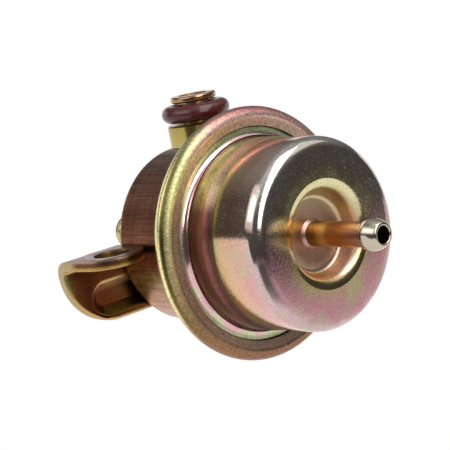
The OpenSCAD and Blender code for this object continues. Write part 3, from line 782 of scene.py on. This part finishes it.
def flat_copy(node, name, cuts):
    """A merged copy, cut by planes so that no flat keeps a hole, with its flat faces joined."""
    piece = merged_copy(node, name)
    bpy.ops.object.mode_set(mode="EDIT")
    for place, direction in cuts:
        bpy.ops.mesh.select_all(action="SELECT")
        bpy.ops.mesh.bisect(plane_co=place, plane_no=direction)
        bpy.ops.mesh.mark_seam()
    bpy.ops.mesh.select_all(action="SELECT")
    bpy.ops.mesh.dissolve_limited(angle_limit=FLAT_ANGLE, delimit={"SEAM"})
    bpy.ops.object.mode_set(mode="OBJECT")
    return piece


def select_edges(piece, wanted):
    """In edit mode, only the edges that a test of edge and angle in degrees accepts. Gives their number."""
    bpy.ops.mesh.select_all(action="DESELECT")
    bpy.ops.mesh.select_mode(type="EDGE")
    shape = bmesh.from_edit_mesh(piece.data)
    picked = [e for e in shape.edges if e.is_manifold and wanted(e, math.degrees(e.calc_face_angle()))]
    for edge in picked:
        edge.select = True
    shape.select_flush_mode()
    bmesh.update_edit_mesh(piece.data)
    return len(picked)


def stand_for(piece, node, material, smooth):
    """The copy is shaded smooth and wears the material, and the CAD node is hidden."""
    bpy.ops.object.shade_smooth_by_angle(angle=smooth)
    piece.data.materials.clear()
    piece.data.materials.append(material)
    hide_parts(node)


print("points closer than", MERGE / MM, "mm are merged")

# %% [markdown]
# The mouth of the pressed channel flows into the plate, so it gets a wide bevel, and all other sharp edges
# get a narrow one. One bevel over everything would be simpler, but it would leave the channel looking cut.

# %% Rounded edges of the bracket
EDGE_SMOOTH = math.radians(30)
TOUCH = 0.01 * MM
CHANNEL_ROUND = 0.55 * MM
CHANNEL_SEGMENTS = 5
CHANNEL_ANGLES = (30, 60)
CHANNEL_DROP = 8.0 * MM
TAB_HOLE = 23.0 * MM
EDGE_ROUND = 0.3 * MM
EDGE_SEGMENTS = 3
SHARP_ANGLE = 35
plate_front = cup_low.x


def channel_mouth(edge, angle):
    """Edges of the channel on the plate's front face."""
    on_front = all(abs(v.co.x - plate_front) < TOUCH for v in edge.verts)
    return on_front and CHANNEL_ANGLES[0] < angle < CHANNEL_ANGLES[1]


bracket = flat_copy("mounting_bracket", "bracket", [
    (rim_middle - Vector((0, 0, CHANNEL_DROP)), (0, 0, 1)),
    (rim_middle, (0, 1, 0)),
    (rim_middle - Vector((0, TAB_HOLE, 0)), (0, 1, 0)),
])
bpy.ops.object.mode_set(mode="EDIT")
mouth = select_edges(bracket, channel_mouth)
bpy.ops.mesh.bevel(offset=CHANNEL_ROUND, segments=CHANNEL_SEGMENTS, affect="EDGES")
sharp = select_edges(bracket, lambda edge, angle: angle > SHARP_ANGLE)
bpy.ops.mesh.bevel(offset=EDGE_ROUND, segments=EDGE_SEGMENTS, affect="EDGES", clamp_overlap=True)
bpy.ops.object.mode_set(mode="OBJECT")
stand_for(bracket, "mounting_bracket", brown, EDGE_SMOOTH)
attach(bracket, "housing")
print("bracket:", mouth, "edges at the channel,", sharp, "sharp edges,", len(bracket.data.polygons), "faces")

# %% [markdown]
# ## The nipple's mouth
# The nipple's bore is deburred, so its mouth shines as a thin ring. The same steps give the nipple that edge:
# a clean copy, cut so that the ring-shaped faces have no hole, and a narrow bevel at the tip.

# %% Deburred mouth of the nipple
MOUTH_ROUND = 0.25 * MM
MOUTH_SEGMENTS = 4
MOUTH_ANGLE = 20
nipple_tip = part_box("vacuum_nipple")[1][0]


def at_tip(edge, angle):
    """Sharp edges at the nipple's tip."""
    return angle > MOUTH_ANGLE and all(v.co.x > nipple_tip - TOUCH for v in edge.verts)


nipple = flat_copy("vacuum_nipple", "nipple", [(rim_middle, (0, 1, 0)), (rim_middle, (0, 0, 1))])
bpy.ops.object.mode_set(mode="EDIT")
mouth = select_edges(nipple, at_tip)
bpy.ops.mesh.bevel(offset=MOUTH_ROUND, segments=MOUTH_SEGMENTS, affect="EDGES")
bpy.ops.object.mode_set(mode="OBJECT")
stand_for(nipple, "vacuum_nipple", copper, EDGE_SMOOTH)
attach(nipple, "housing")
print("nipple:", mouth, "edges at the tip,", len(nipple.data.polygons), "faces")

# %% [markdown]
# ## Rubber and plastic
# The O-ring is maroon rubber with a film of oil, the diaphragm black rubber and the strainer white nylon. A
# single colour would look like paint, so a fine noise drifts between two near tones, and it also varies the
# sheen and the surface. A thin coat over that is the oil.

# %% Moulded pieces
RUBBER_IOR = 1.42
OIL_ROUGHNESS = 0.08
BLOOM_STOPS = (0.35, 0.7)
BLOOM_LOW, BLOOM_HIGH = 0.85, 1.2


def moulded(name, tones, rough, grain, relief, oil=0.0):
    """Moulded rubber or plastic: two near tones, a soft sheen, a fine bloom and some film of oil."""
    material, tree = new_material(name)
    bloom = add(tree, "ShaderNodeTexNoise", {
        "Vector": measures(tree).point, "Scale": 1 / grain, "Detail": 4.0,
    })["Fac"]
    colour = add(tree, "ShaderNodeValToRGB", {"Fac": bloom}, stops=list(zip(BLOOM_STOPS, tones)))
    sheen = add(tree, "ShaderNodeMapRange", {
        "Value": bloom, "From Min": NOISE_LOW, "From Max": NOISE_HIGH,
        "To Min": rough * BLOOM_LOW, "To Max": rough * BLOOM_HIGH,
    })
    bump = add(tree, "ShaderNodeBump", {"Height": bloom, "Strength": 1.0, "Distance": relief * MM})
    body = add(tree, "ShaderNodeBsdfPrincipled", {
        "Base Color": colour["Color"], "Roughness": sheen["Result"], "IOR": RUBBER_IOR,
        "Normal": bump["Normal"], "Coat Weight": oil, "Coat Roughness": OIL_ROUGHNESS,
    })
    add(tree, "ShaderNodeOutputMaterial", {"Surface": body[0]})
    return material


# Oiled rubber: dark, with one wet highlight.
maroon = moulded("oiled_maroon_rubber", ("4e1a1a", "5c2022"), rough=0.3, grain=0.8, relief=0.002, oil=0.35)
# Rubber on fabric: black and matt. It is worn further down, by the diaphragm's copy.
rubber = moulded("black_diaphragm_rubber", ("1c1b1d", "2a292b"), rough=0.6, grain=0.5, relief=0.02)
# Moulded nylon: off-white, with a dull sheen.
nylon = moulded("white_nylon", ("dcd8c8", "e8e4d8"), rough=0.5, grain=0.3, relief=0.02)
dress("inlet_o_ring", maroon)
dress("inlet_screen", nylon)

# %% [markdown]
# ## Steel inside
# The inner pieces are seen only when the regulator is opened: zinc-plated discs, ground and hardened steel
# round the valve, and dark springs. They use the recipe for plated steel with plain tones in place of a film,
# so that they look made in the same shop.

# %% Plain steel
STEEL_REACH = 20
STEEL_WANDER = 8
STEEL_PATCH = 4.0


def steel_tones(rough, *codes):
    """A colour function for plain steel that drifts between near tones."""
    step = 2 * STEEL_REACH / (len(codes) - 1)
    drift = Film(STEEL_WANDER, STEEL_PATCH, [(i * step - STEEL_REACH, code) for i, code in enumerate(codes)])

    def colours(tree, at):
        return film(tree, at, at.height, drift), rough
    return colours


# Zinc plate: pale and satin, with a warm cast.
zinc_tones = steel_tones(0.32, "b9b39c", "c6c2b0", "bdb49a")
zinc = plated("zinc_plate", zinc_tones, grain=0.3, relief=0.006, speck=0.1)
# Ground steel: cool and bright.
ground_tones = steel_tones(0.22, "b4b6ba", "c4c6ca", "bdbec0")
bright = plated("ground_steel", ground_tones, grain=0.3, relief=0.003, speck=0.06)
# Drawn spring wire: dark grey with a soft shine.
wire_tones = steel_tones(0.3, "6f7278", "82858b", "787a80")
wire = plated("spring_steel", wire_tones, grain=0.3, relief=0.003, speck=0.06)
for node in ("spring_plate", "backing_plate"):
    dress(node, zinc)
for node in ("valve_holder", "valve_seat", "valve_plate", "valve_ball"):
    dress(node, bright)
for node in ("ball_spring", "retaining_ring"):
    dress(node, wire)

# %% [markdown]
# ## The spring and the diaphragm
# The valve lifts by 0.8 mm. The main spring stands on its plate and the diaphragm is held between plate and
# rim. Both get clean copies, and the diaphragm's points are laid out on a line by their distance from the
# axis and put back.

# %% Spring and diaphragm across the joint
ROUND_SMOOTH = math.radians(40)


def from_axis(point):
    """Distance of a point from the main axis."""
    return math.hypot(point.y, point.z - axis_z)


spring = merged_copy("main_spring", "spring")
stand_for(spring, "main_spring", wire, ROUND_SMOOTH)
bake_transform(spring)

membrane = merged_copy("diaphragm", "membrane")
stand_for(membrane, "diaphragm", rubber, ROUND_SMOOTH)
places = [v.co.copy() for v in membrane.data.vertices]
for vertex, place in zip(membrane.data.vertices, places):
    vertex.co = (from_axis(place), 0, 0)
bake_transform(membrane)
for vertex, place in zip(membrane.data.vertices, places):
    vertex.co = place
print("spring:", len(spring.data.polygons), "faces, diaphragm:", len(membrane.data.polygons), "faces")
